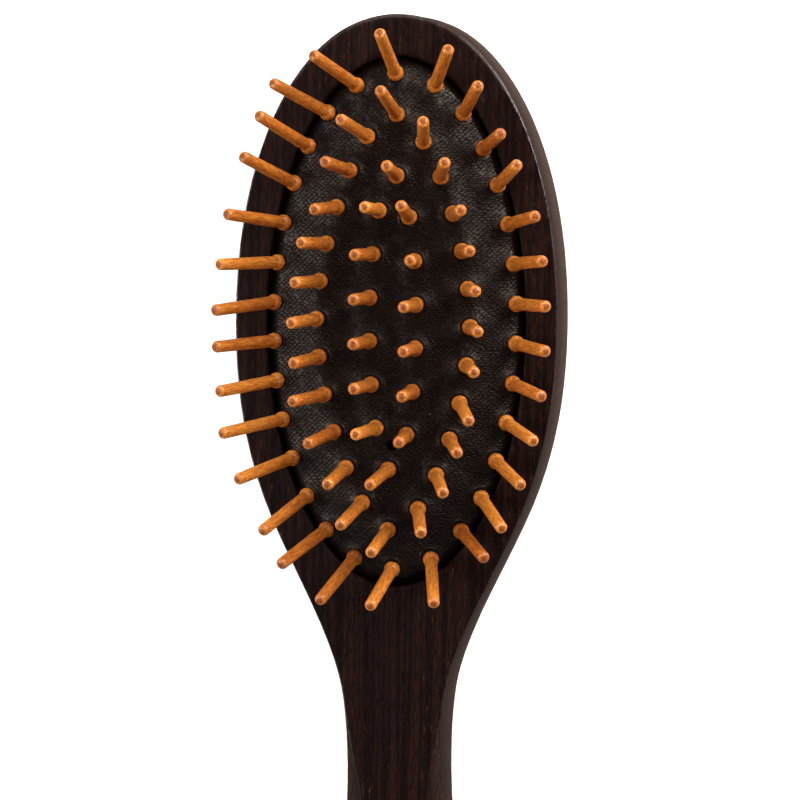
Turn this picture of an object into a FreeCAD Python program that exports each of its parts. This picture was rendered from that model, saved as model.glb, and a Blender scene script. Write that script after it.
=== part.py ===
"""An oval hairbrush: one-piece wooden head and handle, an air-cushion rubber membrane, wooden pins.

Frame: the brush lies on its flat back. +Z points out through the pins, +Y runs from the middle of
the head to its top, the handle runs along -Y, and the origin is on the back under the middle of
the head. Every length is in millimetres and every angle in degrees.
"""
import FreeCAD, Part
import math
import os
import Sketcher

Vector = FreeCAD.Vector

SIZES = (
    # wooden body
    ("head_half_width", 29.9),
    ("head_top", 56.4),            # from the middle of the head to its top
    ("head_low", 54.4),            # half length of the oval that the head's lower half follows
    ("head_fullness", 2.1),        # 2 is an ellipse, more is squarer
    ("body_thickness", 18.0),
    ("flank_half_width", 16.55),
    ("flank_place", 49.8),         # distances down the handle from the middle of the head
    ("throat_half_width", 11.7),
    ("throat_place", 60.8),
    ("neck_start_half_width", 9.45),
    ("neck_start_place", 69.0),
    ("neck_half_width", 8.85),
    ("neck_place", 77.5),
    ("grip_start_half_width", 10.1),
    ("grip_start_place", 98.0),
    ("grip_half_width", 12.4),
    ("grip_place", 137.0),
    ("grip_end_half_width", 12.1),
    ("grip_end_place", 151.0),
    ("handle_end", 165.5),
    ("end_fullness", 2.2),
    ("neck_start_slope", 0.15),    # how fast the outline closes or opens there, per millimetre along
    ("grip_start_slope", 0.09),
    ("grip_end_slope", 0.09),
    ("front_rounding", 0.9),       # edges of the head
    ("back_rounding", 1.5),
    ("grip_front_rounding", 7.5),  # edges of the grip
    ("grip_back_rounding", 6.0),
    ("front_planing", 0.5),        # planed off the rounded front, which leaves its edge crisp
    ("recess_rounding", 0.4),
    # recess for the cushion
    ("recess_half_width", 24.0),
    ("recess_half_length", 48.7),
    ("recess_depth", 9.0),
    ("slot_reach", 1.5),           # undercut slot that holds the cushion's rim
    ("slot_height", 2.0),
    ("slot_floor", 10.5),          # height of the slot's floor above the back
    # rubber cushion
    ("wall_gap", 0.3),
    ("rim_reach", 1.2),
    ("rim_thickness", 1.7),
    ("rubber_thickness", 1.3),
    ("edge_drop", 1.8),            # the dome starts this far below the wooden face
    ("dome_rise", 5.0),
    ("dome_power", 4.5),           # higher keeps the crown flatter and the shoulder steeper
    ("vent_radius", 0.9),
    ("vent_place", 22.5),
    # wooden pin
    ("pin_length", 18.0),          # from the cushion to the tip
    ("shaft_radius", 1.18),
    ("tip_radius", 1.08),
    ("bulb_radius", 1.5),
    ("bulb_height", 0.9),          # middle of the bulb above the cushion
    ("bulb_lift", 0.825),          # the shoulder leaves the bulb this far above its middle
    ("shoulder_height", 2.9),
    ("pin_neck_radius", 0.95),
    ("pin_head_radius", 1.6),
    ("pin_head_thickness", 1.2),
    ("seat_clearance", 0.03),
    # rings of pins: half sizes, fullness, place of the first pin in pitches clockwise from the top,
    # tilt at the sides and at the ends, lean of the whole ring
    ("outer_half_width", 21.8),
    ("outer_half_length", 44.9),
    ("outer_fullness", 2.04),
    ("outer_phase", 0.0),
    ("outer_side_tilt", 27.3),
    ("outer_end_tilt", 25.0),
    ("outer_lean_across", -2.2),
    ("outer_lean_along", -0.8),
    ("middle_half_width", 14.0),
    ("middle_half_length", 37.8),
    ("middle_fullness", 1.62),
    ("middle_phase", 0.085),
    ("middle_side_tilt", 9.1),
    ("middle_end_tilt", 12.7),
    ("middle_lean_across", 3.4),
    ("middle_lean_along", -0.4),
    ("inner_half_width", 4.3),
    ("inner_half_length", 27.0),
    ("inner_fullness", 1.85),
    ("inner_phase", 0.08),
    ("inner_side_tilt", 0.9),
    ("inner_end_tilt", 6.5),
    ("inner_lean_across", 0.2),
    ("inner_lean_along", 0.6),
    ("lean_power", 1.66),          # how far the pins fan out square to their ring
)

# each ring: name, number of pins, and the neighbours that share one node
RINGS = (
    ("outer", 30, ()),
    ("middle", 24, ((5, 6), (13, 14), (21, 22))),
    ("inner", 14, ((0, 1), (2, 3), (4, 5), (6, 7), (8, 9), (10, 11), (12, 13))),
)

# pins set visibly out of line with their ring, by their number in it:
# degrees towards +X and degrees towards +Y
BENT_PINS = {
    "outer": {
        2: (7, 1), 4: (-3, -4), 5: (-4, 4), 14: (6, 7), 16: (-3, 9), 19: (5, -5), 21: (-4, 1),
        24: (-1, -5), 25: (0, -4), 27: (2, 9), 28: (0, 8), 29: (-9, 3), 30: (-6, -3),
    },
    "middle": {
        1: (-6, 2), 2: (-3, 4), 3: (-2, 4), 9: (1, -5), 13: (-4, 4), 15: (4, 0), 17: (-4, 1),
        22: (2, -4), 24: (-4, 1),
    },
    "inner": {2: (0, 6), 3: (4, 1), 14: (4, 1)},
}

# how far in each dome section lies, as a share of the way from the cushion's edge to its middle
DOME_STEPS = (0.0, 0.035, 0.08, 0.14, 0.22, 0.34, 0.5, 0.72)

# angles at which the head's outline is laid out, from its top (0) past the side (90) downwards
TOP_ANGLES = (0, 18, 36, 54, 72, 90)
LOW_ANGLES = (108, 126)

SEAT_RUN = 1.0      # the cut for a pin's seat runs on this far under the pin's head

LEVEL = 1e-6        # heights closer than this are the same
HALVINGS = 50
RING_STEPS = 4000

doc = FreeCAD.newDocument("cushion_brush")
sheet = doc.addObject("Spreadsheet::Sheet", "Sizes")


def fill_sheet():
    """Put every size in the sheet under its own name."""
    for row, (alias, number) in enumerate(SIZES, start=1):
        sheet.set(f"A{row}", alias)
        sheet.set(f"B{row}", str(number))
        sheet.setAlias(f"B{row}", alias)
    doc.recompute()


def size(alias):
    """Read one size back from the sheet."""
    return float(sheet.get(alias))


def new_body(name):
    body = doc.addObject("PartDesign::Body", name)
    body.Label = name
    return body


def new_sketch(body, name, role="XY_Plane", height=None):
    """Make a sketch on one of the body's own origin planes, lifted by an expression."""
    sketch = body.newObject("Sketcher::SketchObject", name)
    plane = [item for item in body.Origin.OriginFeatures if item.Role == role][0]
    sketch.AttachmentSupport = [(plane, "")]
    sketch.MapMode = "FlatFace"
    if height is not None:
        sketch.setExpression("AttachmentOffset.Base.z", height)
    return sketch


def bind(sketch, kind, places, expression, start, name):
    """Add one dimension to a sketch and bind it to the sheet."""
    number = sketch.addConstraint(Sketcher.Constraint(kind, *places, start))
    sketch.renameConstraint(number, name)
    sketch.setExpression(f"Constraints.{name}", expression)


def ellipse_sketch(body, name, half_width, half_length, height):
    """Draw an upright ellipse about the Z axis. The sizes and the height are expressions."""
    start = (size("recess_half_width"), size("recess_half_length"))
    sketch = new_sketch(body, name, height=height)
    sketch.addGeometry(Part.Ellipse(Vector(0, start[1], 0), Vector(start[0], 0, 0), Vector(0, 0, 0)), False)
    sketch.exposeInternalGeometry(0)
    sketch.addConstraint(Sketcher.Constraint("Coincident", 0, 3, -1, 1))
    sketch.addConstraint(Sketcher.Constraint("Vertical", 1))
    bind(sketch, "Distance", (1,), f"2 * ({half_length})", 2 * start[1], "length")
    bind(sketch, "Distance", (2,), f"2 * ({half_width})", 2 * start[0], "width")
    return sketch


def pad(body, name, sketch, length):
    feature = body.newObject("PartDesign::Pad", name)
    feature.Profile = sketch
    feature.setExpression("Length", length)
    return feature


def pocket_down(body, name, sketch, length):
    """Cut from the sketch's plane towards -Z."""
    before = body.Shape.Volume
    feature = body.newObject("PartDesign::Pocket", name)
    feature.Profile = sketch
    feature.Reversed = False
    feature.setExpression("Length", length)
    doc.recompute()
    if feature.Shape.Volume >= before - LEVEL:
        raise RuntimeError(f"{name} cuts nothing")
    return feature


# ---------------------------------------------------------------------------------------------
# wooden head and handle


def oval_point(angle, half_width, half_length):
    """A point of the head's oval. The angle runs from the top (0) past the side (90) downwards."""
    power = 2 / size("head_fullness")
    across = half_width * abs(math.sin(math.radians(angle))) ** power
    along = half_length * abs(math.cos(math.radians(angle))) ** power
    return Vector(across, along if angle <= 90 else -along, 0)


def station(name):
    return Vector(size(f"{name}_half_width"), -size(f"{name}_place"), 0)


def outline_runs():
    """The right half of the outline as smooth runs: (points, first direction, last direction)."""
    width = size("head_half_width")
    head = [oval_point(angle, width, size("head_top")) for angle in TOP_ANGLES]
    head += [oval_point(angle, width, size("head_low")) for angle in LOW_ANGLES]
    head += [station("flank"), station("throat"), station("neck_start")]
    transition = [station("neck_start"), station("neck"), station("grip_start")]
    grip = [station("grip_start"), station("grip"), station("grip_end")]
    end_drop = size("handle_end") - size("grip_end_place")
    corner = 0.5 ** (1 / size("end_fullness"))
    end_middle = station("grip_end") + Vector(
        size("grip_end_half_width") * (corner - 1), -end_drop * corner, 0
    )
    end = [station("grip_end"), end_middle, Vector(0, -size("handle_end"), 0)]
    across = Vector(1, 0, 0)
    at_neck = Vector(-size("neck_start_slope"), -1, 0)
    at_grip = Vector(size("grip_start_slope"), -1, 0)
    at_end = Vector(-size("grip_end_slope"), -1, 0)
    return (
        (head, across, at_neck),
        (transition, at_neck, at_grip),
        (grip, at_grip, at_end),
        (end, at_end, -across),
    )


def smooth_run(points, first, last):
    """A smooth curve through the points with the directions given at its two ends."""
    travel = [0.0]
    for one, two in zip(points, points[1:]):
        travel.append(travel[-1] + one.distanceToPoint(two))
    curve = Part.BSplineCurve()
    curve.interpolate(
        Points=points,
        Parameters=travel,
        InitialTangent=Vector(first).normalize(),
        FinalTangent=Vector(last).normalize(),
        Scale=False,
    )
    return curve


def mirrored(point):
    return Vector(-point.x, point.y, 0)


def outline_curves():
    """The whole outline, clockwise from the top of the head."""
    right = [smooth_run(*run) for run in outline_runs()]
    left = []
    for points, first, last in reversed(outline_runs()):
        turned = [mirrored(point) for point in reversed(points)]
        left.append(smooth_run(turned, -mirrored(last), -mirrored(first)))
    return right + left


def edge_radius(place, side):
    """Edge rounding at a height along Y: the head's, growing through the neck to the grip's."""
    start = -size("neck_start_place")
    end = -size("grip_start_place")
    share = min(max((place - start) / (end - start), 0.0), 1.0)
    head_radius = size(f"{side}_rounding")
    return head_radius + share * (size(f"grip_{side}_rounding") - head_radius)


def outline_edges(shape):
    """Every edge of the board's outline, front and back, with its rounding at either end."""
    front = size("body_thickness") + size("front_planing")
    edges = []
    for number, edge in enumerate(shape.Edges, start=1):
        box = edge.BoundBox
        if box.ZMax < LEVEL:
            side = "back"
        elif box.ZMin > front - LEVEL:
            side = "front"
        else:
            continue
        ends = [edge.valueAt(edge.FirstParameter).y, edge.valueAt(edge.LastParameter).y]
        edges.append((number, edge_radius(ends[0], side), edge_radius(ends[1], side)))
    return edges


def recess_edges(shape):
    """The mouth of the recess in the planed front."""
    radius = size("recess_rounding")
    face_height = size("body_thickness")
    edges = []
    for number, edge in enumerate(shape.Edges, start=1):
        if isinstance(edge.Curve, Part.Ellipse) and edge.BoundBox.ZMin > face_height - LEVEL:
            edges.append((number, radius, radius))
    return edges


def make_handle_body():
    """Head and handle: one wooden board, recessed for the cushion, undercut for its rim."""
    blank = new_body("handle_blank")
    outline = new_sketch(blank, "outline")
    curves = outline_curves()
    for curve in curves:
        outline.addGeometry(curve, False)
    for number in range(len(curves)):
        outline.addConstraint(Sketcher.Constraint("Block", number))
    pad(blank, "board", outline, "Sizes.body_thickness + Sizes.front_planing")
    doc.recompute()
    recess = ellipse_sketch(
        blank, "recess_outline", "Sizes.recess_half_width", "Sizes.recess_half_length", "Sizes.body_thickness"
    )
    pocket_down(blank, "recess", recess, "Sizes.recess_depth")
    slot = ellipse_sketch(
        blank,
        "slot_outline",
        "Sizes.recess_half_width + Sizes.slot_reach",
        "Sizes.recess_half_length + Sizes.slot_reach",
        "Sizes.slot_floor + Sizes.slot_height",
    )
    pocket_down(blank, "rim_slot", slot, "Sizes.slot_height")
    rounded = doc.addObject("Part::Fillet", "rounded_board")
    rounded.Base = blank
    rounded.Edges = outline_edges(blank.Shape)
    doc.recompute()
    reach = blank.Shape.BoundBox
    shavings = doc.addObject("Part::Box", "shavings")
    shavings.Length = reach.XLength
    shavings.Width = reach.YLength
    shavings.setExpression("Height", "Sizes.front_planing * 2")
    shavings.Placement.Base = Vector(reach.XMin, reach.YMin, 0)
    shavings.setExpression("Placement.Base.z", "Sizes.body_thickness")
    planed = doc.addObject("Part::Cut", "planed_board")
    planed.Base = rounded
    planed.Tool = shavings
    doc.recompute()
    handle = doc.addObject("Part::Fillet", "handle_body")
    handle.Label = "handle_body"
    handle.Base = planed
    handle.Edges = recess_edges(planed.Shape)
    return handle


# ---------------------------------------------------------------------------------------------
# places of the pins


def dome_half_width():
    return size("recess_half_width") - size("wall_gap")


def dome_half_length():
    return size("recess_half_length") - size("wall_gap")


def dome_height(share):
    """Height of the cushion's outer face. The share runs from its edge (0) to its middle (1)."""
    edge = size("body_thickness") - size("edge_drop")
    return edge + size("dome_rise") * (1 - (1 - share) ** size("dome_power"))


def dome_slope(share):
    """Fall of the outer face, per millimetre inwards."""
    power = size("dome_power")
    return size("dome_rise") * power * (1 - share) ** (power - 1) / dome_half_width()


def dome_share(x, y):
    """The share at which a dome section passes over a point."""
    low = 0.0
    high = 1.0
    for _ in range(HALVINGS):
        share = (low + high) / 2
        inset = share * dome_half_width()
        reach = math.hypot(x / (dome_half_width() - inset), y / (dome_half_length() - inset))
        if reach < 1:
            low = share
        else:
            high = share
    return low


def ring_point(ring, angle):
    power = 2 / size(f"{ring}_fullness")
    sine = math.sin(angle)
    cosine = math.cos(angle)
    x = math.copysign(size(f"{ring}_half_width") * abs(sine) ** power, sine)
    y = math.copysign(size(f"{ring}_half_length") * abs(cosine) ** power, cosine)
    return x, y


def ring_points(ring, count):
    """Points evenly spaced along a ring, clockwise."""
    points = [ring_point(ring, 2 * math.pi * step / RING_STEPS) for step in range(RING_STEPS + 1)]
    travel = [0.0]
    for one, two in zip(points, points[1:]):
        travel.append(travel[-1] + math.dist(one, two))
    places = []
    step = 0
    for number in range(count):
        target = (number + size(f"{ring}_phase")) / count * travel[-1]
        while travel[step + 1] < target:
            step += 1
        places.append(points[step])
    return places


def pin_axis(ring, x, y, number):
    """Direction of a pin, fanned outwards from the ring and a little out of line."""
    half_width = size(f"{ring}_half_width")
    half_length = size(f"{ring}_half_length")
    power = size("lean_power")
    out_x = math.copysign(abs(x) / half_width ** power, x)
    out_y = math.copysign(abs(y) / half_length ** power, y)
    length = math.hypot(out_x, out_y)
    share = (y / half_length) ** 2
    tilt = size(f"{ring}_side_tilt") * (1 - share) + size(f"{ring}_end_tilt") * share
    fan = math.tan(math.radians(tilt)) / length
    bent_across, bent_along = BENT_PINS[ring].get(number + 1, (0, 0))
    across = out_x * fan + math.tan(math.radians(size(f"{ring}_lean_across") + bent_across))
    along = out_y * fan + math.tan(math.radians(size(f"{ring}_lean_along") + bent_along))
    return Vector(across, along, 1).normalize()


def pin_placement(ring, x, y, number):
    """Place of a pin's frame: its origin lies half way through the rubber, its Z along the pin."""
    share = dome_share(x, y)
    level = dome_height(share)
    upright = math.cos(math.atan(dome_slope(share)))
    origin = Vector(x, y, level - size("rubber_thickness") / 2 * upright)
    turn = FreeCAD.Rotation(Vector(0, 0, 1), pin_axis(ring, x, y, number))
    return FreeCAD.Placement(origin, turn)


def pin_placements(ring, count):
    points = ring_points(ring, count)
    return [pin_placement(ring, x, y, number) for number, (x, y) in enumerate(points)]


# ---------------------------------------------------------------------------------------------
# wooden pins


def pin_sketch(body):
    """Half section of a pin: head, neck, bulb, shoulder, shaft, domed tip."""
    sketch = new_sketch(body, f"{body.Name}_section", role="XZ_Plane")
    half = size("rubber_thickness") / 2
    bulb = size("bulb_radius")
    bulb_middle = half + size("bulb_height")
    foot = math.sqrt(bulb ** 2 - size("bulb_height") ** 2)
    lift = size("bulb_lift")
    waist = math.sqrt(bulb ** 2 - lift ** 2)
    top = half + size("pin_length")
    tip = size("tip_radius")
    points = (
        (0, -half - size("pin_head_thickness")),
        (size("pin_head_radius"), -half - size("pin_head_thickness")),
        (size("pin_head_radius"), -half),
        (size("pin_neck_radius"), -half),
        (size("pin_neck_radius"), half),
        (foot, half),
        (waist, bulb_middle + lift),
        (size("shaft_radius"), half + size("shoulder_height")),
        (tip, top - tip),
        (0, top),
    )
    places = [Vector(x, y, 0) for x, y in points]
    for one, two in zip(places[:5], places[1:6]):
        sketch.addGeometry(Part.LineSegment(one, two), False)
    ball = Part.Circle(Vector(0, bulb_middle, 0), Vector(0, 0, 1), bulb)
    ball_start = -math.asin(size("bulb_height") / bulb)
    sketch.addGeometry(Part.ArcOfCircle(ball, ball_start, math.asin(lift / bulb)), False)
    sketch.addGeometry(Part.LineSegment(places[6], places[7]), False)
    sketch.addGeometry(Part.LineSegment(places[7], places[8]), False)
    dome = Part.Circle(Vector(0, top - tip, 0), Vector(0, 0, 1), tip)
    sketch.addGeometry(Part.ArcOfCircle(dome, 0, math.pi / 2), False)
    sketch.addGeometry(Part.LineSegment(places[9], places[0]), False)
    joins = ((0, 2, 1, 1), (1, 2, 2, 1), (2, 2, 3, 1), (3, 2, 4, 1), (4, 2, 5, 1), (5, 2, 6, 1))
    joins += ((6, 2, 7, 1), (7, 2, 8, 1), (8, 2, 9, 1), (9, 2, 0, 1))
    for join in joins:
        sketch.addConstraint(Sketcher.Constraint("Coincident", *join))
    for line in (0, 2, 4):
        sketch.addConstraint(Sketcher.Constraint("Horizontal", line))
    for line in (1, 3, 9):
        sketch.addConstraint(Sketcher.Constraint("Vertical", line))
    for point in ((0, 1), (5, 3), (8, 3)):
        sketch.addConstraint(Sketcher.Constraint("PointOnObject", *point, -2))
    half_text = "Sizes.rubber_thickness / 2"
    bind(sketch, "DistanceY", (0, 1, -1, 1), f"{half_text} + Sizes.pin_head_thickness", -points[0][1], "head_low")
    bind(sketch, "DistanceY", (1, 2, -1, 1), half_text, half, "head_high")
    bind(sketch, "DistanceX", (-1, 1, 1, 1), "Sizes.pin_head_radius", points[1][0], "head_radius")
    bind(sketch, "DistanceX", (-1, 1, 3, 1), "Sizes.pin_neck_radius", points[3][0], "neck_radius")
    bind(sketch, "DistanceY", (-1, 1, 3, 2), half_text, half, "neck_high")
    bind(sketch, "Radius", (5,), "Sizes.bulb_radius", bulb, "bulb_radius")
    bind(sketch, "DistanceY", (-1, 1, 5, 3), f"{half_text} + Sizes.bulb_height", bulb_middle, "bulb_middle")
    bind(sketch, "DistanceY", (5, 3, 5, 2), "Sizes.bulb_lift", lift, "bulb_lift")
    bind(sketch, "DistanceX", (-1, 1, 6, 2), "Sizes.shaft_radius", points[7][0], "shaft_radius")
    bind(sketch, "DistanceY", (-1, 1, 6, 2), f"{half_text} + Sizes.shoulder_height", points[7][1], "shoulder")
    bind(sketch, "Radius", (8,), "Sizes.tip_radius", tip, "tip_radius")
    sketch.addConstraint(Sketcher.Constraint("Horizontal", 8, 3, 8, 1))
    bind(sketch, "DistanceY", (-1, 1, 8, 2), f"{half_text} + Sizes.pin_length", top, "pin_top")
    return sketch


def make_pin(name, placement):
    """One turned wooden pin, standing on its own place on the cushion."""
    body = new_body(name)
    sketch = pin_sketch(body)
    turned = body.newObject("PartDesign::Revolution", f"{name}_turned")
    turned.Profile = sketch
    turned.ReferenceAxis = (sketch, ["V_Axis"])
    turned.Angle = 360
    body.Placement = placement
    return body


def make_pins():
    """Every pin, one node each, and neighbours that share a node as one compound."""
    nodes = []
    for ring, count, pairs in RINGS:
        placements = pin_placements(ring, count)
        paired = {number: pair for pair in pairs for number in pair}
        bodies = {}
        for number, placement in enumerate(placements):
            name = f"pin_{ring}_{number + 1:02d}"
            bodies[number] = make_pin(name, placement)
            if number not in paired:
                nodes.append(bodies[number])
        for one, two in pairs:
            label = f"pins_{ring}_{one + 1:02d}_{two + 1:02d}"
            group = doc.addObject("Part::Compound", label)
            group.Label = label
            group.Links = [bodies[one], bodies[two]]
            nodes.append(group)
    return nodes


# ---------------------------------------------------------------------------------------------
# rubber cushion


RIM_FLOOR = "Sizes.slot_floor + (Sizes.slot_height - Sizes.rim_thickness) / 2"
DOME_EDGE = "Sizes.body_thickness - Sizes.edge_drop"


def dome_texts(share, inside):
    """Half width, half length and height of a dome section, as expressions.

    It lies on the dome's outer face, or one rubber thickness inside it.
    """
    width = "(Sizes.recess_half_width - Sizes.wall_gap)"
    length = "(Sizes.recess_half_length - Sizes.wall_gap)"
    inset = f"{share} * {width}"
    height = f"{DOME_EDGE} + Sizes.dome_rise * (1 - (1 - {share}) ^ Sizes.dome_power)"
    if inside:
        slope = f"Sizes.dome_rise * Sizes.dome_power * (1 - {share}) ^ (Sizes.dome_power - 1) / {width}"
        inset = f"({inset} + Sizes.rubber_thickness * sin(atan({slope})))"
        height = f"{height} - Sizes.rubber_thickness * cos(atan({slope}))"
    return f"{width} - {inset}", f"{length} - {inset}", height


def loft(body, kind, name, sections):
    feature = body.newObject(kind, name)
    feature.Profile = sections[0]
    feature.Sections = sections[1:]
    feature.Ruled = False
    return feature


def make_cushion_shell():
    """The cushion before its pin seats: rim, skirt and dome, hollow underneath."""
    shell = new_body("cushion_shell")
    rim = ellipse_sketch(
        shell,
        "rim_outline",
        "Sizes.recess_half_width + Sizes.rim_reach",
        "Sizes.recess_half_length + Sizes.rim_reach",
        RIM_FLOOR,
    )
    pad(shell, "rim", rim, "Sizes.rim_thickness")
    skirt = ellipse_sketch(
        shell,
        "skirt_outline",
        "Sizes.recess_half_width - Sizes.wall_gap",
        "Sizes.recess_half_length - Sizes.wall_gap",
        RIM_FLOOR,
    )
    pad(shell, "skirt", skirt, f"{DOME_EDGE} - ({RIM_FLOOR})")
    doc.recompute()
    outer = []
    inner = []
    for number, share in enumerate(DOME_STEPS):
        outer.append(ellipse_sketch(shell, f"outer_section_{number}", *dome_texts(share, False)))
    loft(shell, "PartDesign::AdditiveLoft", "dome", outer)
    doc.recompute()
    for number, share in enumerate(DOME_STEPS):
        inner.append(ellipse_sketch(shell, f"inner_section_{number}", *dome_texts(share, True)))
    loft(shell, "PartDesign::SubtractiveLoft", "dome_hollow", inner)
    doc.recompute()
    mouth_width, mouth_length, mouth_top = dome_texts(DOME_STEPS[0], True)
    mouth = ellipse_sketch(shell, "mouth_outline", mouth_width, mouth_length, mouth_top)
    pocket_down(shell, "mouth", mouth, f"{mouth_top} - ({RIM_FLOOR})")
    return shell


def pin_seat():
    """The space a pin takes up in the rubber: head, neck and bulb with a little room all round."""
    room = size("seat_clearance")
    half = size("rubber_thickness") / 2
    neck = size("pin_neck_radius") + room
    head = size("pin_head_radius") + room
    bulb = size("bulb_radius") + room
    under = -half - size("pin_head_thickness") - SEAT_RUN
    above = half + size("shoulder_height")
    corners = ((0, under), (head, under), (head, room - half), (neck, room - half), (neck, half - room))
    corners += ((bulb, half - room), (bulb, above), (0, above), (0, under))
    section = Part.makePolygon([Vector(x, 0, z) for x, z in corners])
    return Part.Face(section).revolve(Vector(0, 0, 0), Vector(0, 0, 1), 360)


def make_cushion():
    """The cushion membrane. Its seats follow each pin's own tilt, so Part cuts them all at once."""
    shell = make_cushion_shell()
    seat = pin_seat()
    tools = []
    for ring, count, _ in RINGS:
        for placement in pin_placements(ring, count):
            tool = seat.copy()
            tool.Placement = placement
            tools.append(tool)
    vent = Part.makeCylinder(size("vent_radius"), size("body_thickness"))
    vent.translate(Vector(0, -size("vent_place"), size("recess_depth")))
    tools.append(vent)
    cushion = doc.addObject("Part::Feature", "cushion_membrane")
    cushion.Label = "cushion_membrane"
    cushion.Shape = shell.Shape.cut(tools)
    cushion.Placement = FreeCAD.Placement()
    return cushion


# ---------------------------------------------------------------------------------------------


def check(nodes):
    """Stop if any object failed or any node isn't one valid closed shape."""
    for item in doc.Objects:
        if "Invalid" in item.State or "Error" in item.State:
            raise RuntimeError(f"{item.Name} failed: {item.State}")
    for node in nodes:
        shape = node.Shape
        if shape.isNull() or not shape.isValid() or not shape.Solids:
            raise RuntimeError(f"{node.Label} has no valid solid")


def main():
    fill_sheet()
    nodes = [make_handle_body(), make_cushion()] + make_pins()
    doc.recompute()
    check(nodes)
    os.makedirs("parts", exist_ok=True)
    for node in nodes:
        node.Shape.exportStep(f"parts/{node.Label}.step")
    print(len(nodes), "nodes written")


main()
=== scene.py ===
import math

import bmesh
import bpy
import numpy as np
from mathutils import Matrix, Vector


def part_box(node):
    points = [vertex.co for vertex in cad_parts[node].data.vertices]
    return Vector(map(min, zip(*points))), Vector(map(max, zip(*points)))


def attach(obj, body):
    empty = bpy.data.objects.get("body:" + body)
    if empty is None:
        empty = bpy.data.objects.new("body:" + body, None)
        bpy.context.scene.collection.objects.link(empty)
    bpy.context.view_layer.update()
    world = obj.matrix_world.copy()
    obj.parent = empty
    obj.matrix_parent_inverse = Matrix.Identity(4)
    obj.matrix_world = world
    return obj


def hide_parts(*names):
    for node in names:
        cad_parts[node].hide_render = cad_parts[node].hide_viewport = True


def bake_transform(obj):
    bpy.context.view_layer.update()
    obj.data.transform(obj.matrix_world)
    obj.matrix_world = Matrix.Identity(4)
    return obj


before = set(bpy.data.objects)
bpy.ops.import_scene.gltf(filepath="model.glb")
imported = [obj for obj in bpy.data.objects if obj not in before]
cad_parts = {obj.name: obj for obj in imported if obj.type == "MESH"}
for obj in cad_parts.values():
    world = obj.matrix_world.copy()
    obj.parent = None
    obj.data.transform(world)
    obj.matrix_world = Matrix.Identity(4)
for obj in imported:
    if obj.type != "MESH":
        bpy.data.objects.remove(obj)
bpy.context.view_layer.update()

# Lengths are in millimetres, and turned into metres where they meet the frame, unless noted.
MM = 0.001
SEED = 4171

HANDLE = "handle_body"
MEMBRANE = "cushion_membrane"
PIN_NODES = sorted(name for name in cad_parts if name.startswith("pin"))
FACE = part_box(HANDLE)[1].z / MM
CUSHION_LOW, CUSHION_HIGH = [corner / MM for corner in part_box(MEMBRANE)]

# ---------------------------------------------------------------- small helpers


def smooth_share(values, low, high):
    """0 below low, 1 above high, and a smooth turn between them."""
    t = np.clip((values - low) / (high - low), 0.0, 1.0)
    return t * t * (3.0 - 2.0 * t)


def hump(distance, width):
    """A bell, 1 high where the distance is 0."""
    return np.exp(-((distance / width) ** 2))


def new_piece(name, points_mm, faces, material):
    """A smooth-shaded mesh object from points in millimetres."""
    mesh = bpy.data.meshes.new(name)
    mesh.from_pydata((np.asarray(points_mm) * MM).tolist(), [], faces)
    mesh.validate()
    mesh.polygons.foreach_set("use_smooth", [True] * len(mesh.polygons))
    mesh.materials.append(material)
    piece = bpy.data.objects.new(name, mesh)
    bpy.context.scene.collection.objects.link(piece)
    return piece


def point_values(piece, name, values):
    """Keeps one number, or one vector, for each point of a piece, for its material to read."""
    values = np.asarray(values, np.float32)
    kind, key = ("FLOAT_VECTOR", "vector") if values.ndim == 2 else ("FLOAT", "value")
    layer = piece.data.attributes.new(name, kind, "POINT")
    layer.data.foreach_set(key, values.ravel())


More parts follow.
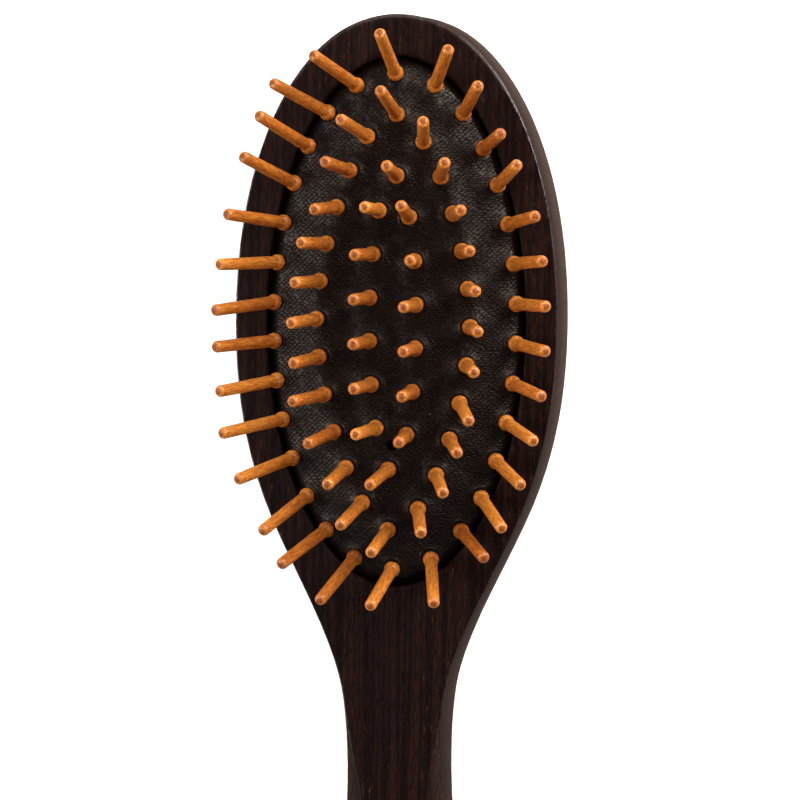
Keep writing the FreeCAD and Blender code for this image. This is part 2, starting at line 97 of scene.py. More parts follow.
class Look:
    """A material's node tree, built up one node at a time."""

    def __init__(self, name):
        self.material = bpy.data.materials.new(name)
        self.material.use_nodes = True
        self.tree = self.material.node_tree
        self.shader = self.tree.nodes["Principled BSDF"]

    def node(self, kind, inputs=None, **settings):
        made = self.tree.nodes.new("ShaderNode" + kind)
        for key, value in settings.items():
            setattr(made, key, value)
        for socket, value in (inputs or {}).items():
            self.feed(made.inputs[socket], value)
        return made

    def feed(self, socket, value):
        """Sets a socket to a plain value, or joins it to another node's output."""
        if isinstance(value, bpy.types.NodeSocket):
            self.tree.links.new(value, socket)
        elif isinstance(value, bpy.types.Node):
            self.tree.links.new(value.outputs[0], socket)
        else:
            socket.default_value = value

    def math(self, operation, a, b=0.0, c=0.0):
        return self.node("Math", {0: a, 1: b, 2: c}, operation=operation).outputs[0]

    def times(self, first, *others):
        for other in others:
            first = self.math("MULTIPLY", first, other)
        return first

    def scaled(self, value, factor, offset):
        """value * factor + offset"""
        return self.math("MULTIPLY_ADD", value, factor, offset)

    def share(self, value, low, high):
        """0 where value is low, 1 where it is high, smooth between."""
        inputs = {"Value": value, "From Min": low, "From Max": high}
        return self.node("MapRange", inputs, interpolation_type="SMOOTHSTEP").outputs[0]

    def stretch(self, vector, factors, shift=(0.0, 0.0, 0.0)):
        inputs = {"Vector": vector, "Scale": factors, "Location": shift}
        return self.node("Mapping", inputs).outputs[0]

    def noise(self, vector, scale=1.0, detail=2.0, roughness=0.5):
        inputs = {"Vector": vector, "Scale": scale, "Detail": detail, "Roughness": roughness}
        return self.node("TexNoise", inputs).outputs[0]

    def mix(self, share, first, second):
        """A colour between two colours."""
        made = self.node("Mix", data_type="RGBA")
        for socket, value in ((0, share), (6, first), (7, second)):
            self.feed(made.inputs[socket], value)
        return made.outputs[2]

    def mix_values(self, share, first, second):
        """A number between two numbers."""
        made = self.node("Mix", data_type="FLOAT")
        for socket, value in ((0, share), (2, first), (3, second)):
            self.feed(made.inputs[socket], value)
        return made.outputs[0]

    def axes(self, vector):
        return self.node("SeparateXYZ", {0: vector}).outputs

    def kept(self, name, output="Fac"):
        """What point_values kept on the piece under this name."""
        return self.node("Attribute", attribute_name=name).outputs[output]

    def bump(self, height, distance_mm, strength=1.0, under=None):
        inputs = {"Height": height, "Distance": distance_mm * MM, "Strength": strength}
        made = self.node("Bump", inputs)
        if under is not None:
            self.feed(made.inputs["Normal"], under)
        return made.outputs[0]

    def surface(self, **values):
        """Feeds the shader. A pair is a plain value, left under the varying one that is fed in."""
        for name, value in values.items():
            socket = self.shader.inputs[name.replace("_", " ")]
            if isinstance(value, tuple) and len(value) == 2:
                socket.default_value, value = value
            self.feed(socket, value)
        return self.material

    def millimetres(self):
        """The place on the piece in the row frame, counted in millimetres."""
        place = self.node("TexCoord").outputs["Object"]
        return self.stretch(place, (1 / MM, 1 / MM, 1 / MM))


# ---------------------------------------------------------------- dark wood

# Where it is clean: its two grounds, the fibre lines, the reddish streaks and the pores.
WOOD_DEEP, WOOD_PALE = (0.0048, 0.0015, 0.0010, 1), (0.0178, 0.0061, 0.0040, 1)
WOOD_FIBRE = (0.0024, 0.0010, 0.0008, 1)
WOOD_STREAK = (0.095, 0.030, 0.013, 1)
WOOD_PORE = (0.0035, 0.0022, 0.0019, 1)

# Where it is drier and matte, and painted paler to stand in for the light falling on the sides.
DRY_LIT_DEEP, DRY_LIT_PALE = (0.024, 0.0125, 0.0095, 1), (0.100, 0.059, 0.044, 1)
DRY_LIT_PORE = (0.010, 0.006, 0.005, 1)

# How fine each feature is across, along and through the wood.
SWAY_FINENESS = (0.06, 0.012, 0.06)
COLUMN_FINENESS = (1.15, 0.018, 1.15)
FIBRE_FINENESS = (6.4, 0.42, 6.4)
PORE_FINENESS = (5.2, 0.75, 5.2)
STREAK_FINENESS = (3.9, 0.34, 3.9)
CLUSTER_FINENESS = (0.10, 0.02, 0.10)

# Along the brush: the head's top begins, the arris becomes worn, and the painted light on the sides fades
# towards the grip.
CREST = (34.0, 50.0)
ARRIS_WEAR = (-95.0, -55.0)
LIT_SIDES_ALONG = (-82.0, -45.0)

# Lower down the sides, the painted light on them grows stronger.
LOW_DOWN = (FACE - 1.0, 3.0)

# The width over which the worn arris turns, and how much wider it is at the head's top.
ARRIS, ARRIS_CREST = 0.40, 0.95
ARRIS_ROUGHNESS = 0.24
WOOD_SPECULAR, ARRIS_SPECULAR = 0.06, 0.92


def wood_grain(look, place):
    """The clean colour of the dark wood, its drier side colour painted paler to stand in for light, and
    its fibres and pores.
    """
    sway = look.noise(look.stretch(place, SWAY_FINENESS), detail=1.0)
    drift = look.node("CombineXYZ", {0: look.times(sway, 3.0)})
    grain = look.node("VectorMath", {0: place, 1: drift}).outputs[0]
    columns = look.noise(look.stretch(grain, COLUMN_FINENESS), detail=2.0)
    fibres = look.noise(look.stretch(grain, FIBRE_FINENESS), detail=4.0, roughness=0.66)
    pore_noise = look.noise(look.stretch(grain, PORE_FINENESS, (7.0, 3.0, 1.0)), detail=1.5)
    streak_noise = look.noise(look.stretch(grain, STREAK_FINENESS, (31.0, 5.0, 17.0)), detail=2.0)
    clusters = look.noise(look.stretch(grain, CLUSTER_FINENESS, (3.0, 1.0, 9.0)), detail=1.0)
    pores = look.share(pore_noise, 0.56, 0.68)
    streaks = look.share(look.scaled(clusters, 0.25, streak_noise), 0.79, 0.93)
    lines = look.share(fibres, 0.58, 0.40)
    ground = look.mix(look.share(columns, 0.36, 0.64), WOOD_DEEP, WOOD_PALE)
    lined = look.mix(look.times(lines, 0.9), ground, WOOD_FIBRE)
    reddish = look.mix(look.times(streaks, 0.55), lined, WOOD_STREAK)
    clean = look.mix(pores, reddish, WOOD_PORE)
    dry_lit_ground = look.mix(look.share(fibres, 0.34, 0.66), DRY_LIT_DEEP, DRY_LIT_PALE)
    dry_and_lit = look.mix(look.times(pores, 0.7), dry_lit_ground, DRY_LIT_PORE)
    return clean, dry_and_lit, fibres, pores


def dark_wood():
    """Very dark brown open-grained hardwood with its grain along Y, satin on the face.

    Its sides are drier and matte, and painted paler as painted light, most of all low down and least on
    the grip; the head's top edge is painted pale as a band of light, and its arris is worn to a shine.
    """
    look = Look("dark_wood_satin")
    place = look.millimetres()
    clean, dry_and_lit, fibres, pores = wood_grain(look, place)
    axes = look.axes(place)

    # the oval is 1 along the cushion's edge and grows outwards, so the cushion's seat stays clean
    x_share = look.math("DIVIDE", axes[0], CUSHION_HIGH.x)
    y_share = look.math("DIVIDE", axes[1], CUSHION_HIGH.y)
    oval = look.scaled(x_share, x_share, look.times(y_share, y_share))
    upright = look.axes(look.node("TexCoord").outputs["Normal"])[2]
    side = look.times(look.share(upright, 0.96, 0.58), look.share(oval, 0.99, 1.01))

    # the arris is where the bevelled normal turns away from the true one
    crest = look.share(axes[1], *CREST)
    turning = look.scaled(crest, ARRIS_CREST * MM, ARRIS * MM)
    soft_normal = look.node("Bevel", {"Radius": turning}, samples=6).outputs[0]
    normals = {0: soft_normal, 1: look.node("NewGeometry").outputs["True Normal"]}
    turn = look.node("VectorMath", normals, operation="DOT_PRODUCT").outputs["Value"]
    arris = look.times(look.share(turn, 0.995, 0.93), look.share(oval, 1.02, 1.10))
    worn = look.share(look.noise(place, scale=0.5, detail=2.0), 0.30, 0.55)
    shine = look.times(arris, worn, look.share(axes[1], *ARRIS_WEAR), look.scaled(crest, -0.7, 1.0))

    # painted light: the sides are painted paler, most of all low down and towards the head, least on the
    # grip's sides
    lit_along = look.scaled(look.share(axes[1], *LIT_SIDES_ALONG), 0.26, 0.34)
    low_down = look.scaled(look.share(axes[2], *LOW_DOWN), 0.85, 0.50)
    dried_and_lit = look.times(side, look.times(lit_along, low_down))
    # painted highlight: the head's top edge takes the paler side colour as a band of light
    crest_light = look.times(arris, crest, 0.62)

    satin = look.scaled(fibres, 0.22, 0.30)
    relief = look.math("SUBTRACT", look.times(fibres, 0.5), look.times(pores, 0.8))
    # the paler colour is partly the sides' drier matte wood and partly painted light on the sides and on
    # the head's top edge
    return look.surface(
        Base_Color=look.mix(look.math("MAXIMUM", dried_and_lit, crest_light), clean, dry_and_lit),
        Roughness=look.mix_values(shine, look.scaled(side, 0.40, satin), ARRIS_ROUGHNESS),
        Specular_IOR_Level=(WOOD_SPECULAR, look.scaled(shine, ARRIS_SPECULAR, WOOD_SPECULAR)),
        Normal=look.bump(relief, 0.03, 0.6, soft_normal),
    )


# ---------------------------------------------------------------- rubber

RUBBER_DEEP, RUBBER_PALE = (0.0025, 0.0010, 0.0007, 1), (0.0048, 0.0021, 0.0015, 1)
RUBBER_SPECK = (0.13, 0.11, 0.10, 1)
RUBBER_TINT = (1.0, 0.83, 0.71, 1.0)
RUBBER_SPECULAR = 0.18
RUBBER_RELIEF = 0.085

# Cloth printed into the rubber: height of a row, width of one stitch, how far both wander.
CLOTH_ROW, CLOTH_STITCH, CLOTH_WANDER = 0.45, 0.96, 1.5

# Round a pin the print gives way to rings, over these distances from it.
RINGS, RING_GAP = (3.0, 1.9), 0.55

# The shine comes in over these distances from the cushion's edge: held back at the edge, it is painted
# shade under the wood's rim.
SHINE_INLAND = (0.4, 2.4)


def cloth_grooves(look, place):
    """Thin scalloped grooves in rows, every other row set over by half a stitch."""
    wander = look.noise(place, scale=0.35, detail=1.0)
    axes = look.axes(place)
    rows = look.math("DIVIDE", look.scaled(wander, CLOTH_WANDER, axes[1]), CLOTH_ROW)
    across = look.math("DIVIDE", look.scaled(wander, CLOTH_WANDER, axes[0]), CLOTH_STITCH)
    stitch = look.scaled(look.math("FLOOR", rows), 0.5, across)
    scallop = look.math("ABSOLUTE", look.math("SINE", look.times(stitch, math.pi)))
    in_row = look.math("SUBTRACT", look.math("FRACT", rows), 0.22)
    level = look.scaled(scallop, -0.55, in_row)
    return look.share(look.math("ABSOLUTE", level), 0.40, 0.08)


def black_rubber():
    """Black-brown moulded rubber printed with a fine cloth, drawn into faint rings round each pin."""
    look = Look("black_rubber_embossed")
    place = look.millimetres()
    reach, inland = look.kept("reach"), look.kept("inland")
    patchy = look.noise(place, scale=1.3, detail=2.0)
    near_pin = look.share(reach, *RINGS)
    depth = look.scaled(near_pin, -0.6, look.share(patchy, 0.25, 0.60))
    printed = look.times(cloth_grooves(look, place), look.math("MAXIMUM", depth, 0.0))
    turn = look.noise(place, scale=0.4, detail=1.0)
    ripple = look.math("SINE", look.scaled(reach, math.tau / RING_GAP, look.times(turn, 9.0)))
    ringed = look.times(ripple, near_pin, look.times(turn, 0.55))
    relief = look.scaled(patchy, 0.12, look.math("SUBTRACT", ringed, printed))
    # painted shade: the gloss fades towards the cushion's edge, where the wood's rim shades the rubber
    gloss = look.times(look.scaled(printed, -0.12, 0.175), look.share(inland, *SHINE_INLAND))
    colour = look.mix(look.noise(place, scale=0.3, detail=3.0), RUBBER_DEEP, RUBBER_PALE)
    specks = look.share(look.noise(place, scale=1.9, detail=3.0), 0.73, 0.79)
    return look.surface(
        Base_Color=look.mix(specks, colour, RUBBER_SPECK),
        Roughness=look.scaled(patchy, 0.16, 0.27),
        Specular_IOR_Level=(RUBBER_SPECULAR, gloss),
        Specular_Tint=RUBBER_TINT,
        Normal=look.bump(relief, RUBBER_RELIEF),
    )


# ---------------------------------------------------------------- wood of the pins

# Pairs: the colour on the reddest pin and on the yellowest one.
PIN_LIGHT = (0.40, 0.108, 0.010, 1), (0.68, 0.265, 0.034, 1)
PIN_DEEP = (0.20, 0.040, 0.004, 1), (0.38, 0.105, 0.012, 1)
PIN_FLECK = (0.13, 0.026, 0.003, 1)

# The end grain, in its dark and in its light rings, and how far below the tip it comes in.
END_DEEP, END_LIGHT = (0.085, 0.014, 0.003, 1), (0.26, 0.062, 0.010, 1)
END_START, END_FULL = 0.42, 0.12


def pin_wood(length):
    """Warm orange-brown turned wood, its grain along each pin, darker on the end grain of the tip."""
    look = Look("pin_wood_satin")
    grain, tone = look.kept("grain", "Vector"), look.kept("tone")
    fibres = look.noise(look.stretch(grain, (3.4, 3.4, 0.55)), detail=5.0, roughness=0.66)
    clouds = look.noise(look.stretch(grain, (0.7, 0.7, 0.12)), detail=2.0)
    fleck_noise = look.noise(look.stretch(grain, (6.0, 6.0, 2.0), (3.0, 9.0, 1.0)), detail=1.5)
    flecks = look.share(fleck_noise, 0.55, 0.70)
    light, deep = look.mix(tone, *PIN_LIGHT), look.mix(tone, *PIN_DEEP)
    grained = look.mix(look.share(fibres, 0.37, 0.63), deep, light)
    clouded = look.mix(look.times(look.share(clouds, 0.45, 0.7), 0.35), grained, deep)
    flecked = look.mix(look.times(flecks, 0.72), clouded, PIN_FLECK)

    axes = look.axes(look.kept("local", "Vector"))
    square = look.math("ADD", look.times(axes[0], axes[0]), look.times(axes[1], axes[1]))
    radius = look.math("SQRT", square)
    end = look.share(axes[2], length - END_START, length - END_FULL)
    rings = look.noise(look.stretch(grain, (4.0, 4.0, 4.0)), detail=3.0)
    disc = look.times(end, look.share(look.scaled(rings, 0.35, radius), 0.92, 0.55))
    end_grain = look.mix(look.share(rings, 0.35, 0.7), END_DEEP, END_LIGHT)

    relief = look.math("SUBTRACT", look.times(fibres, 0.6), look.times(flecks, 0.5))
    return look.surface(
        Base_Color=look.mix(look.times(disc, 0.85), flecked, end_grain),
        Roughness=look.scaled(fibres, 0.2, 0.32),
        Specular_IOR_Level=(0.28, look.scaled(disc, -0.20, 0.30)),
        Coat_Weight=(0.25, look.scaled(disc, -0.16, 0.26)),
        Coat_Roughness=0.13,
        Normal=look.bump(relief, 0.03, 0.7),
    )


# ---------------------------------------------------------------- pins

# The turned profile, measured along the pin from its pivot in the rubber.
HEAD_LOW, HEAD_HIGH, HEAD_RADIUS = -1.85, -0.65, 1.6
HEAD_LOW_BEVEL, HEAD_HIGH_BEVEL = 0.15, 0.12
NECK_END, NECK_RADIUS = 0.65, 0.95
BULB_CENTRE, BULB_RADIUS = 1.55, 1.48
SHOULDER_END, SHAFT_RADIUS = 3.9, 1.15
PIN_END, TIP_RADIUS, TIP_ROUNDING = 18.65, 1.08, 0.82

# The bulb begins this share of its radius below its centre, and meets the rubber at the foot.
BULB_BELOW, FOOT_HEIGHT = 0.60, 1.04

# The shaft is thinner by the drop where the bulb flows into it, over the blend.
WAIST_DROP, WAIST_BLEND = 0.11, 0.12

# The tip's rounding is a little less high than deep, and its end sinks towards its edge.
TIP_SQUASH, TIP_SINK = 0.9, 0.02

# The ring between the rim and the middle of each end, as a share of the rim's radius.
CAP_RING = 0.55

PIN_SIDES, BULB_STEPS, SHOULDER_STEPS, SHAFT_STEPS, TIP_STEPS = 40, 6, 16, 12, 9

# What hand-fed turning leaves: a bow, and lobes that wind slowly up the pin.
LEAST_BOW, MOST_BOW = 0.005, 0.02
LOBES, LOBE_HEIGHT, LOBE_TWIST = 3, 0.0025, 0.25

# Each pin's colour, 0 to 1 from red to yellow, and where in the timber its grain comes from.
TONE, TONE_SPREAD = 0.5, 0.18
TIMBER_HALF = 90

# Points this near to an end of a CAD pin belong to that end.
HEAD_BAND, TIP_BAND = 0.02, 0.03


def pin_profile():
    """(height, radius) of the lathed outline from the buried head to the tip."""
    outline = [
        (HEAD_LOW, CAP_RING * HEAD_RADIUS),
        (HEAD_LOW, HEAD_RADIUS - HEAD_LOW_BEVEL),
        (HEAD_LOW + HEAD_LOW_BEVEL, HEAD_RADIUS),
        (HEAD_HIGH - HEAD_HIGH_BEVEL, HEAD_RADIUS),
        (HEAD_HIGH, HEAD_RADIUS - HEAD_HIGH_BEVEL),
        (HEAD_HIGH, NECK_RADIUS),
        (0.0, NECK_RADIUS),
    ]
    low_angle = -math.asin(BULB_BELOW)
    for step in range(BULB_STEPS + 1):
        angle = low_angle * (1 - step / BULB_STEPS)
        outline.append((BULB_CENTRE + BULB_RADIUS * math.sin(angle), BULB_RADIUS * math.cos(angle)))
    for step in range(1, SHOULDER_STEPS + 1):
        rise = (SHOULDER_END - BULB_CENTRE) * step / SHOULDER_STEPS
        ball = math.sqrt(max(BULB_RADIUS ** 2 - rise ** 2, 0.0))
        waist = SHAFT_RADIUS - WAIST_DROP * (1 - step / SHOULDER_STEPS)
        radius = (ball + waist + math.hypot(ball - waist, WAIST_BLEND)) / 2
        outline.append((BULB_CENTRE + rise, radius))
    shaft_end = PIN_END - TIP_ROUNDING
    for step in range(1, SHAFT_STEPS + 1):
        share = step / SHAFT_STEPS
        radius = SHAFT_RADIUS + (TIP_RADIUS - SHAFT_RADIUS) * share
        outline.append((SHOULDER_END + (shaft_end - SHOULDER_END) * share, radius))
    for step in range(1, TIP_STEPS):
        angle = math.pi / 2 * step / TIP_STEPS
        radius = TIP_RADIUS - TIP_ROUNDING * (1 - math.cos(angle))
        outline.append((shaft_end + TIP_SQUASH * TIP_ROUNDING * math.sin(angle), radius))
    outline.append((PIN_END - TIP_SINK, CAP_RING * outline[-1][1]))
    return np.array(outline)


def lathe(outline, rng):
    """Points and faces of one turned pin, very slightly uneven above the rubber."""
    angles = np.arange(PIN_SIDES) * math.tau / PIN_SIDES
    heights, radii = outline[:, 0], outline[:, 1]
    lobes = rng.normal(0, 1, (LOBES, 2))
    above = np.clip(heights - NECK_END, 0, None)
    bow_direction = rng.uniform(0, math.tau)
    bow = rng.uniform(LEAST_BOW, MOST_BOW) * np.sin(above / (PIN_END - NECK_END) * math.pi)
    rings = []
    for height, radius, lift, bend in zip(heights, radii, above, bow):
        uneven = np.ones(PIN_SIDES)
        if lift > 0:
            for order, (size, phase) in enumerate(lobes, start=2):
                uneven += LOBE_HEIGHT * size * np.cos(order * angles + phase + LOBE_TWIST * lift)
        x = radius * uneven * np.cos(angles) + bend * math.cos(bow_direction)
        y = radius * uneven * np.sin(angles) + bend * math.sin(bow_direction)
        rings.append(np.stack([x, y, np.full(PIN_SIDES, height)], axis=1))
    points = np.concatenate(rings + [[[0, 0, HEAD_LOW]], [[0, 0, PIN_END]]])
    top = (len(rings) - 1) * PIN_SIDES
    low, high = top + PIN_SIDES, top + PIN_SIDES + 1
    faces = []
    for start in range(0, top, PIN_SIDES):
        for side in range(PIN_SIDES):
            a, b = start + side, start + (side + 1) % PIN_SIDES
            faces.append((a, b, b + PIN_SIDES, a + PIN_SIDES))
    for side in range(PIN_SIDES):
        after = (side + 1) % PIN_SIDES
        faces.append((after, side, low))
        faces.append((top + side, top + after, high))
    return points, faces


def islands(mesh):
    """The separate solids of a CAD mesh, each as its points in millimetres."""
    work = bmesh.new()
    work.from_mesh(mesh)
    bmesh.ops.remove_doubles(work, verts=work.verts, dist=1e-7)
    work.verts.index_update()
    left, found = set(work.verts), []
    while left:
        wave = [left.pop()]
        group = list(wave)
        while wave:
            near = {edge.other_vert(v) for v in wave for edge in v.link_edges} & left
            left -= near
            wave = list(near)
            group += wave
        group.sort(key=lambda v: v.index)
        found.append(np.array([v.co / MM for v in group]))
    work.free()
    return sorted(found, key=lambda points: tuple(points.mean(0).round(3)))


def pin_frame(points):
    """The pivot, and the unit axis from head to tip, of one CAD pin."""
    centre = points.mean(0)
    axis = np.linalg.svd(points - centre, full_matrices=False)[2][0]
    axis *= np.sign(axis[2])
    for _ in range(3):
        along = points @ axis
        head = points[along < along.min() + HEAD_BAND].mean(0)
        tip = points[along > along.max() - TIP_BAND].mean(0)
        axis = (tip - head) / np.linalg.norm(tip - head)
    return head - axis * HEAD_LOW, axis


def turned_basis(axis, turn):
    """A matrix whose third column is the axis, spun by the turn."""
    basis = Vector(axis).to_track_quat("Z", "Y").to_matrix() @ Matrix.Rotation(turn, 3, "Z")
    return np.array(basis)


def make_pins(material):
    """One piece for each pin node, one or two turned pins in it. Returns all pivots and axes."""
    rng = np.random.default_rng(SEED)
    outline = pin_profile()
    places = []
    for node in PIN_NODES:
        points, faces, local, tones = [], [], [], []
        for solid in islands(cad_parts[node].data):
            pivot, axis = pin_frame(solid)
            places.append((pivot, axis))
            shape, quads = lathe(outline, rng)
            start = sum(len(p) for p in points)
            faces += [tuple(start + i for i in quad) for quad in quads]
            points.append(pivot + shape @ turned_basis(axis, rng.uniform(0, math.tau)).T)
            local.append(shape)
            tone = np.clip(rng.normal(TONE, TONE_SPREAD), 0.0, 1.0)
            tones.append(np.full(len(shape), tone))
        piece = new_piece(node + "_turned", np.concatenate(points), faces, material)
        shifted = [shape + rng.uniform(-TIMBER_HALF, TIMBER_HALF, 3) for shape in local]
        point_values(piece, "grain", np.concatenate(shifted))
        point_values(piece, "local", np.concatenate(local))
        point_values(piece, "tone", np.concatenate(tones))
        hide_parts(node)
        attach(piece, node)
    return places


# ---------------------------------------------------------------- cushion

RIM_REACH, RIM_THICKNESS, RUBBER = 1.2, 1.7, 1.3
DOME_RISE, DOME_POWER = 5.0, 4.5
HALF_WIDTH = CUSHION_HIGH.x - RIM_REACH
HALF_LENGTH = CUSHION_HIGH.y - RIM_REACH
RIM_LOW = CUSHION_LOW.z
CROWN = CUSHION_HIGH.z
EDGE = CROWN - DOME_RISE
ROLL, ROLL_INSET = 0.5, 0.15
RIM_BEVEL = 0.1
GRID_X, GRID_Y = 170, 346

# Rings of the underside: how many, how far apart as a share of the way in, and how far lower.
UNDER_RINGS, UNDER_STEP, UNDER_GAP = 8, 0.11, 0.25

HOLE_RADIUS, HOLE_DEPTH = 1.1, RUBBER * 0.9
VENT_PLACE, VENT_RADIUS = (0.0, -22.5), 0.9

# Quilting: a lip hugs each pin, the rubber is pulled up near pins and sinks between them.
LIP_HEIGHT, LIP_PLACE, LIP_WIDTH = 0.13, 1.7, 0.40
PULL_REACH, PULL_MOST = 3.1, 1.25
MOUND_HEIGHT, MOUND = 0.42, (0.80, 1.45)
VALLEY_DEPTH, VALLEY_PULL = 0.42, 1.3
DIMPLE_DEPTH, DIMPLE_WIDTH = 0.25, 1.5
QUILTED = (0.015, 0.09)

# Slow waves in the rubber: height, and how fast each turns along x and y.
SWELL, SWELL_X, SWELL_Y = 0.10, 0.31, 0.23
SWELL_START_X, SWELL_START_Y = 1.3, 0.4
RIPPLE, RIPPLE_X, RIPPLE_Y = 0.06, 0.9, 0.5

# The reach kept where no pin is near.
FAR = 9.0


def dome_share(x, y):
    """How far a place is from the dome's edge (0) to its middle line (1), by halving."""
    low, high = np.zeros_like(x), np.full_like(x, 0.9999)
    for _ in range(32):
        middle = (low + high) / 2
        wide = HALF_WIDTH * (1 - middle)
        tall = HALF_LENGTH - HALF_WIDTH * middle
        outside = (x / wide) ** 2 + (y / tall) ** 2 > 1
        high = np.where(outside, middle, high)
        low = np.where(outside, low, middle)
    return (low + high) / 2


def dome_height(share):
    return EDGE + DOME_RISE * (1 - (1 - share) ** DOME_POWER)


def rubber_relief(x, y, share, places):
    """The height that the quilting adds to the dome, and each point's reach to the nearest pin."""
    nearest = np.full_like(x, 1e3)
    pull = np.zeros_like(x)
    for pivot, axis in places:
        foot = pivot + axis * FOOT_HEIGHT
        distance = np.hypot(x - foot[0], y - foot[1])
        nearest = np.minimum(nearest, distance)
        pull += hump(distance, PULL_REACH)
    lip = LIP_HEIGHT * hump(nearest - LIP_PLACE, LIP_WIDTH)
    mound = MOUND_HEIGHT * np.clip(pull, 0, PULL_MOST) * smooth_share(nearest, *MOUND)
    valley = -VALLEY_DEPTH * (1 - np.clip(pull * VALLEY_PULL, 0, 1))
    swell = SWELL * np.sin(x * SWELL_X + SWELL_START_X) * np.sin(y * SWELL_Y + SWELL_START_Y)
    ripple = RIPPLE * np.sin(x * RIPPLE_X + y * RIPPLE_Y)
    vent = np.hypot(x - VENT_PLACE[0], y - VENT_PLACE[1])
    dimple = -DIMPLE_DEPTH * hump(vent, DIMPLE_WIDTH)
    relief = lip + mound + valley + swell + ripple + dimple
    return smooth_share(share, *QUILTED) * relief, nearest


def edge_loop(columns, rows):
    """Grid indices round the border, anticlockwise from the lower left."""
    loop = [(i, 0) for i in range(columns)]
    loop += [(columns, j) for j in range(rows)]
    loop += [(i, rows) for i in range(columns, 0, -1)]
    loop += [(0, j) for j in range(rows, 0, -1)]
    return [i * (rows + 1) + j for i, j in loop]


def lower_outline():
    """(outset, height) of the rings below the dome: rolled edge, skirt, rim and underside."""
    rim_high = RIM_LOW + RIM_THICKNESS
    outline = [
        (-0.05, EDGE - 0.22),
        (0.0, EDGE - ROLL),
        (0.0, rim_high + 0.3),
        (0.06, rim_high + 0.08),
        (RIM_REACH - RIM_BEVEL, rim_high),
        (RIM_REACH, rim_high - RIM_BEVEL),
        (RIM_REACH, RIM_LOW + RIM_BEVEL),
        (RIM_REACH - RIM_BEVEL, RIM_LOW),
        (-RUBBER, RIM_LOW),
        (-RUBBER, EDGE - 1.6),
    ]
    for ring in range(1, UNDER_RINGS + 1):
        inward = UNDER_STEP * ring
        height = dome_height(inward) - RUBBER - UNDER_GAP
        outline.append((-RUBBER - (HALF_WIDTH - RUBBER) * inward, height))
    return outline


def make_cushion(material, places):
    """The rubber membrane as one closed skin, with a hole for each pin and one for the vent."""
    u, v = np.meshgrid(np.linspace(-1, 1, GRID_X + 1), np.linspace(-1, 1, GRID_Y + 1), indexing="ij")
    wide, tall = HALF_WIDTH - ROLL_INSET, HALF_LENGTH - ROLL_INSET
    x = (wide * u * np.sqrt(1 - v * v / 2)).ravel()
    y = (tall * v * np.sqrt(1 - u * u / 2)).ravel()
    share = dome_share(x, y)
    relief, reach = rubber_relief(x, y, share, places)
    points = [np.stack([x, y, dome_height(share) + relief], axis=1)]
    faces = []
    column = GRID_Y + 1
    for i in range(GRID_X):
        for j in range(GRID_Y):
            a = i * column + j
            faces.append((a, a + column, a + column + 1, a + 1))
    before = edge_loop(GRID_X, GRID_Y)
    cosine, sine = x[before] / wide, y[before] / tall
    count, start = len(before), len(x)
    for outset, height in lower_outline():
        across, along = (HALF_WIDTH + outset) * cosine, (HALF_LENGTH + outset) * sine
        points.append(np.stack([across, along, np.full(count, height)], axis=1))
        after = list(range(start, start + count))
        for k in range(count):
            n = (k + 1) % count
            faces.append((before[n], before[k], after[k], after[n]))
        before, start = after, start + count
    faces.append(tuple(reversed(before)))
    piece = new_piece(MEMBRANE + "_rubber", np.concatenate(points), faces, material)
    reaches = np.full(len(piece.data.vertices), FAR)
    reaches[: len(reach)] = reach
    point_values(piece, "reach", reaches)
    inland = np.zeros(len(piece.data.vertices))
    inland[: len(share)] = share * HALF_WIDTH
    point_values(piece, "inland", inland)
    holes = [((pivot + axis * NECK_END)[:2], HOLE_RADIUS) for pivot, axis in places]
    cut_holes(piece, holes + [(VENT_PLACE, VENT_RADIUS)])
    return piece


def cut_holes(piece, holes):
    """Cuts each round hole into the top of the membrane and gives it a wall and a floor.

    Faces and edges go through dictionaries, not sets, to keep their order from run to run.
    """
    work = bmesh.new()
    work.from_mesh(piece.data)
    work.verts.ensure_lookup_table()
    tops = [v for v in work.verts if v.co.z > (EDGE - 0.1) * MM]
    flat = np.array([v.co.xy for v in tops]) / MM
    for centre, radius in holes:
        distance = np.hypot(flat[:, 0] - centre[0], flat[:, 1] - centre[1])
        inside = [tops[k] for k in np.flatnonzero(distance < radius)]
        inside = [v for v in inside if v.is_valid]
        gone = list(dict.fromkeys(face for v in inside for face in v.link_faces))
        around = dict.fromkeys(v for face in gone for v in face.verts)
        border = [v for v in around if v not in inside]
        bmesh.ops.delete(work, geom=gone, context="FACES")
        for v in [v for v in inside if v.is_valid]:
            work.verts.remove(v)
        border = [v for v in border if v.is_valid]
        for v in border:
            out = Vector((v.co.x - centre[0] * MM, v.co.y - centre[1] * MM))
            out *= radius * MM / out.length
            v.co.x, v.co.y = centre[0] * MM + out.x, centre[1] * MM + out.y
        ring = set(border)
        lip = dict.fromkeys(edge for v in border for edge in v.link_edges if edge.is_boundary)
        low = {v: work.verts.new(v.co - Vector((0, 0, HOLE_DEPTH * MM)), v) for v in border}
        floor_edges = []
        for edge in [edge for edge in lip if ring.issuperset(edge.verts)]:
            a, b = edge.verts
            wall = work.faces.new((b, a, low[a], low[b]), edge.link_faces[0])
            floor_edges.append(wall.edges[2])
        bmesh.ops.contextual_create(work, geom=floor_edges)
    bmesh.ops.recalc_face_normals(work, faces=work.faces)
    work.to_mesh(piece.data)
    work.free()


# ---------------------------------------------------------------- studio

VIEW_YAW, VIEW_PITCH, VIEW_ROLL = math.radians(8.7), math.radians(3.41), math.radians(0.39)
VIEW_DISTANCE = 800.0
VIEW_AIM = (0.0, 0.0, FACE + 0.4)
VIEW_OFFSET = (0.88, -14.24)
VIEW_LENS, SENSOR = 196.4, 36.0

# In metres.
CLIP_NEAR, CLIP_FAR = 0.05, 20.0
FLOOR_HALF, FLOOR_DROP = 3.0, 0.0002

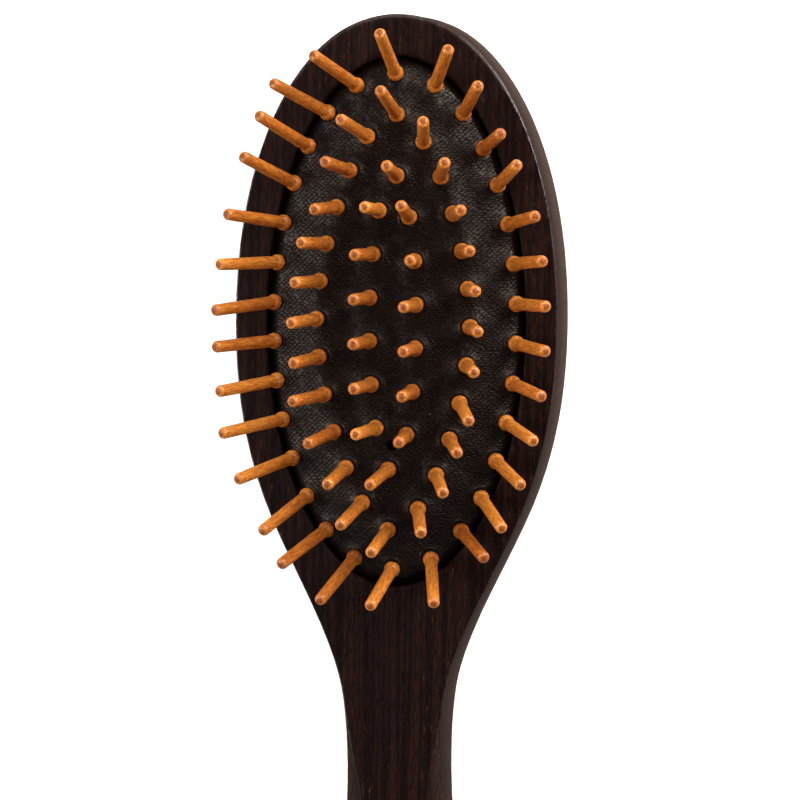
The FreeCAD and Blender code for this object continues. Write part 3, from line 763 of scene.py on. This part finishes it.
FLOOR_DIM, FLOOR_BRIGHT = (0.80, 0.80, 0.80, 1), (0.84, 0.84, 0.84, 1)
WHITE = (1.0, 1.0, 1.0, 1.0)

# How bright the surroundings are, at shares of the way from straight down to straight up.
SKY = ((0.0, 0.30), (0.42, 0.34), (0.54, 0.60), (0.68, 0.60), (0.92, 0.03), (1.0, 0.03))

# Soft boxes: name, place and aim in metres, width and height in metres, power in watts.
SOFT_BOXES = (
    ("key_right", (0.66, 0.40, 0.84), (0, 0, 0), (0.40, 0.5), 8.8),
    ("fill_left", (-0.76, -0.02, 0.60), (0, -0.03, 0), (0.5, 0.8), 10.0),
    ("top", (0.0, 0.95, 0.75), (0, 0, 0), (0.8, 0.35), 9.0),
    ("edge_glint", (0.62, 0.54, 0.21), (0, 0, 0), (0.42, 0.10), 8.5),
)


def make_camera():
    """A long lens almost straight over the pins, turned a little to the right and up."""
    flat = math.cos(VIEW_PITCH)
    back = Vector((math.sin(VIEW_YAW) * flat, math.sin(VIEW_PITCH), math.cos(VIEW_YAW) * flat))
    level = (-back).cross(Vector((0, 1, 0))).normalized()
    upright = level.cross(-back)
    right = level * math.cos(VIEW_ROLL) + upright * math.sin(VIEW_ROLL)
    up = upright * math.cos(VIEW_ROLL) - level * math.sin(VIEW_ROLL)
    eye = Vector(VIEW_AIM) + right * VIEW_OFFSET[0] + up * VIEW_OFFSET[1] + back * VIEW_DISTANCE
    data = bpy.data.cameras.new("camera")
    data.lens, data.sensor_width = VIEW_LENS, SENSOR
    data.clip_start, data.clip_end = CLIP_NEAR, CLIP_FAR
    camera = bpy.data.objects.new("camera", data)
    axes = Matrix((right, up, back)).transposed().to_4x4()
    camera.matrix_world = Matrix.Translation(eye * MM) @ axes
    bpy.context.scene.collection.objects.link(camera)
    bpy.context.scene.camera = camera


def make_soft_box(name, place, aim, size, power):
    data = bpy.data.lights.new(name, "AREA")
    data.shape, data.size, data.size_y = "RECTANGLE", size[0], size[1]
    data.energy = power
    light = bpy.data.objects.new(name, data)
    direction = Vector(aim) - Vector(place)
    light.rotation_euler = direction.to_track_quat("-Z", "Y").to_euler()
    light.location = place
    bpy.context.scene.collection.objects.link(light)


def make_world():
    """Surroundings that are bright round the horizon and dark overhead, as in a booth open at the top."""
    world = bpy.data.worlds.new("studio")
    world.use_nodes = True
    tree = world.node_tree
    place = tree.nodes.new("ShaderNodeTexCoord")
    axes = tree.nodes.new("ShaderNodeSeparateXYZ")
    lift = tree.nodes.new("ShaderNodeMath")
    lift.operation = "MULTIPLY_ADD"
    lift.inputs[1].default_value = lift.inputs[2].default_value = 0.5
    fade = tree.nodes.new("ShaderNodeValToRGB")
    stops = fade.color_ramp.elements
    for height, _ in SKY[1:-1]:
        stops.new(height)
    for stop, (_, level) in zip(stops, SKY):
        stop.color = (level, level, level, 1)
    tree.links.new(place.outputs["Generated"], axes.inputs[0])
    tree.links.new(axes.outputs["Z"], lift.inputs[0])
    tree.links.new(lift.outputs[0], fade.inputs[0])
    tree.links.new(fade.outputs[0], tree.nodes["Background"].inputs["Color"])
    bpy.context.scene.world = world


def studio_white():
    """Plain pale floor, a little self-lit so that shadows on it stay faint."""
    look = Look("studio_white")
    cloudy = look.noise(look.millimetres(), scale=0.002, detail=1.0)
    return look.surface(
        Base_Color=look.mix(cloudy, FLOOR_DIM, FLOOR_BRIGHT),
        Roughness=0.9,
        IOR=1.3,
        Emission_Color=WHITE,
        Emission_Strength=0.45,
    )


def make_studio():
    """Pale floor, bright surroundings and four soft boxes."""
    corners = np.array([(-1, -1, 0), (1, -1, 0), (1, 1, 0), (-1, 1, 0)]) * FLOOR_HALF
    floor = new_piece("floor", corners / MM, [(0, 1, 2, 3)], studio_white())
    floor.location.z = -FLOOR_DROP
    floor.visible_glossy = False
    make_world()
    for soft_box in SOFT_BOXES:
        make_soft_box(*soft_box)
    bpy.context.scene.view_settings.view_transform = "Standard"


# ---------------------------------------------------------------- the object

make_camera()
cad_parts[HANDLE].data.materials.clear()
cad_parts[HANDLE].data.materials.append(dark_wood())
pin_places = make_pins(pin_wood(PIN_END))
cushion = make_cushion(black_rubber(), pin_places)
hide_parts(MEMBRANE)
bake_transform(cushion)
make_studio()
